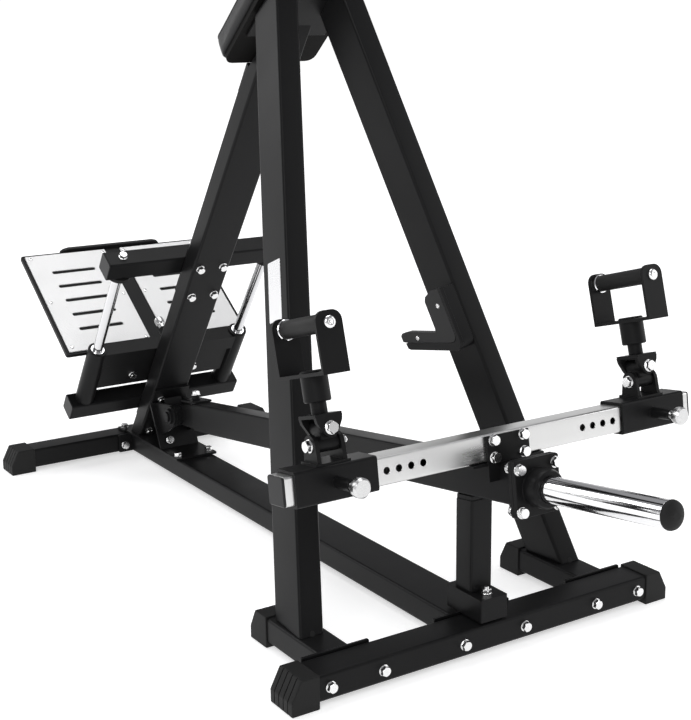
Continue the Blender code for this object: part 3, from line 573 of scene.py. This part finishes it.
def welt(tree, name, height, radius=0.0015):
    """A thin cord round the cushion along its seam, laid on the filled cover."""
    path = []
    for x, y in rounded(PAD_W, PAD_L, PAD_CORNER, 10, PAD_MIDDLE):
        outer = Vector((x, y, height))
        inner = Vector((0, -PAD_L / 2 + max(-0.12, min(0.12, y + PAD_L / 2)), height))
        far = outer + (outer - inner).normalized() * 0.05
        hit = tree.ray_cast(far, (inner - far).normalized())[0]
        path.append(hit if hit else outer)
    dense = []
    for index, point in enumerate(path):
        ahead = path[(index + 1) % len(path)]
        parts = max(1, int((ahead - point).length / 0.012))
        for part in range(parts):
            spot = point.lerp(ahead, part / parts)
            near = tree.find_nearest(spot)[0]
            dense.append(near if near is not None else spot)
    shown(name, finished(name, tube_along(bmesh.new(), dense, radius), VINYL, 80), PAD, "machine")


def cushion():
    pad = cushion_shell()
    rest = [v.co.copy() for v in pad.data.vertices]
    fill_with_air(pad)
    limit_swell(pad, rest)
    smooth_cover(pad)
    rounder = pad.modifiers.new("rounder", "SUBSURF")
    rounder.levels = rounder.render_levels = 1
    bpy.context.view_layer.update()
    tree = BVHTree.FromObject(pad, bpy.context.evaluated_depsgraph_get())
    pad.matrix_world = PAD
    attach(pad, "machine")
    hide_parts("chest_pad")
    welt(tree, "pad_welt_top", PAD_LOW + PAD_T - 0.010)


cushion()

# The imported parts: softened edges and their own surfaces.
LOOKS = {
    "black_steel": BLACK,
    "board": BOARD,
    "chrome": CHROME,
    "plastic": PLASTIC,
    "rubber": RUBBER,
    "satin_bar": SATIN,
    "tread": TREAD,
    "vinyl": VINYL,
}
SPECIAL = {
    "foot_pin": KNOB,
    "guide_rod_left": ROD,
    "guide_rod_right": ROD,
    "lever_shaft": BLACK,
    "sleeve_pin_left": KNOB,
    "sleeve_pin_right": KNOB,
}
EDGE = 0.0009
slots = {item["node"]: item["material_slot"] for item in frame["record"]["subparts"]}
for name, node in nodes.items():
    data = node.data
    data.materials.clear()
    data.materials.append(SPECIAL.get(name) or LOOKS[slots[name]])
    if "custom_normal" in data.attributes:
        data.attributes.remove(data.attributes["custom_normal"])
    data.shade_smooth()
    weld = node.modifiers.new("weld", "WELD")
    weld.merge_threshold = 0.00002
    edge = node.modifiers.new("edge", "BEVEL")
    edge.width, edge.segments = EDGE, 2
    edge.limit_method, edge.angle_limit = "ANGLE", radians(35)
    edge.use_clamp_overlap, edge.harden_normals = True, True
    node.modifiers.new("shading", "WEIGHTED_NORMAL").keep_sharp = True


# Studio: a white floor under a white horizon, with soft lights above.
FLOOR_HALF = 30
FLOOR_DROP = 0.0004


def backdrop():
    """The floor. It glows a little more away from the machine, so that it meets the horizon unseen."""
    mesh = bmesh.new()
    for a, b in ((-1, -1), (1, -1), (1, 1), (-1, 1)):
        mesh.verts.new((a * FLOOR_HALF, b * FLOOR_HALF, -FLOOR_DROP))
    mesh.faces.new(mesh.verts)
    look = surface(
        "white_floor", (0.80, 0.80, 0.80), rough=0.75, spread=0.03, grain=30, bump=0.0, tint=0.005, IOR=1.2,
    )
    shader = look.node_tree.nodes["Principled BSDF"]
    shader.inputs["Emission Color"].default_value = (1, 1, 1, 1)
    links, new = look.node_tree.links, look.node_tree.nodes.new
    where = new("ShaderNodeTexCoord")
    reach = new("ShaderNodeVectorMath")
    reach.operation = "LENGTH"
    glow = new("ShaderNodeMapRange")
    for key, value in (("From Min", 1.5), ("From Max", 5.0), ("To Min", 0.55), ("To Max", 0.95)):
        glow.inputs[key].default_value = value
    links.new(where.outputs["Object"], reach.inputs[0])
    links.new(reach.outputs["Value"], glow.inputs["Value"])
    links.new(glow.outputs["Result"], shader.inputs["Emission Strength"])
    floor = bpy.data.objects.new("floor", finished("floor", mesh, look))
    bpy.context.scene.collection.objects.link(floor)
    return floor


def soft_light(name, place, target, size, power):
    data = bpy.data.lights.new(name, "AREA")
    data.shape, data.energy = "RECTANGLE", power
    data.size, data.size_y = size
    lamp = bpy.data.objects.new(name, data)
    bpy.context.scene.collection.objects.link(lamp)
    lamp.location = place
    lamp.rotation_euler = (Vector(target) - Vector(place)).to_track_quat("-Z", "Y").to_euler()
    return lamp


backdrop()
soft_light("key", (-3.2, -3.4, 3.4), (0, -0.1, 0.4), (2.4, 2.4), 90)
soft_light("fill", (3.6, -2.6, 2.2), (0, 0.1, 0.4), (1.8, 2.6), 40)
soft_light("top", (0.4, 0.6, 4.4), (0, 0, 0), (3.4, 3.4), 95)
soft_light("rim", (-2.4, 3.6, 2.6), (0, 0, 0.6), (1.6, 2.4), 45)


def horizon():
    """A world that is white at the horizon and grey above."""
    world = bpy.data.worlds.new("studio")
    bpy.context.scene.world = world
    world.use_nodes = True
    tree = world.node_tree
    where = tree.nodes.new("ShaderNodeTexCoord")
    split = tree.nodes.new("ShaderNodeSeparateXYZ")
    ramp = tree.nodes.new("ShaderNodeValToRGB")
    tree.links.new(where.outputs["Generated"], split.inputs[0])
    tree.links.new(split.outputs["Z"], ramp.inputs["Fac"])
    tree.links.new(ramp.outputs["Color"], tree.nodes["Background"].inputs["Color"])
    low, high = ramp.color_ramp.elements
    low.position, low.color = 0.03, (1.05, 1.05, 1.05, 1)
    high.position, high.color = 0.30, (0.30, 0.30, 0.31, 1)


def look_from(stand, yaw, pitch, roll, focal):
    """The camera at a point, with its turn from +Y to +X, its tilt and its roll in degrees."""
    yaw, pitch, roll = radians(yaw), radians(pitch), radians(roll)
    ahead = Vector((sin(yaw) * cos(pitch), cos(yaw) * cos(pitch), sin(pitch)))
    right = Vector((cos(yaw), -sin(yaw), 0))
    up = right.cross(ahead)
    across = right * cos(roll) + up * sin(roll)
    upright = up * cos(roll) - right * sin(roll)
    place = Matrix((across, upright, -ahead)).transposed().to_4x4()
    place.translation = stand
    lens = bpy.data.cameras.new("camera")
    lens.lens, lens.sensor_width, lens.sensor_fit = focal, 36, "AUTO"
    camera = bpy.data.objects.new("camera", lens)
    bpy.context.scene.collection.objects.link(camera)
    camera.matrix_world = place
    bpy.context.scene.camera = camera


horizon()
look_from((-1.4999, -2.4760, 1.1430), 32.737, -13.726, -0.720, 67.9)
bpy.context.scene.view_settings.view_transform = "Standard"
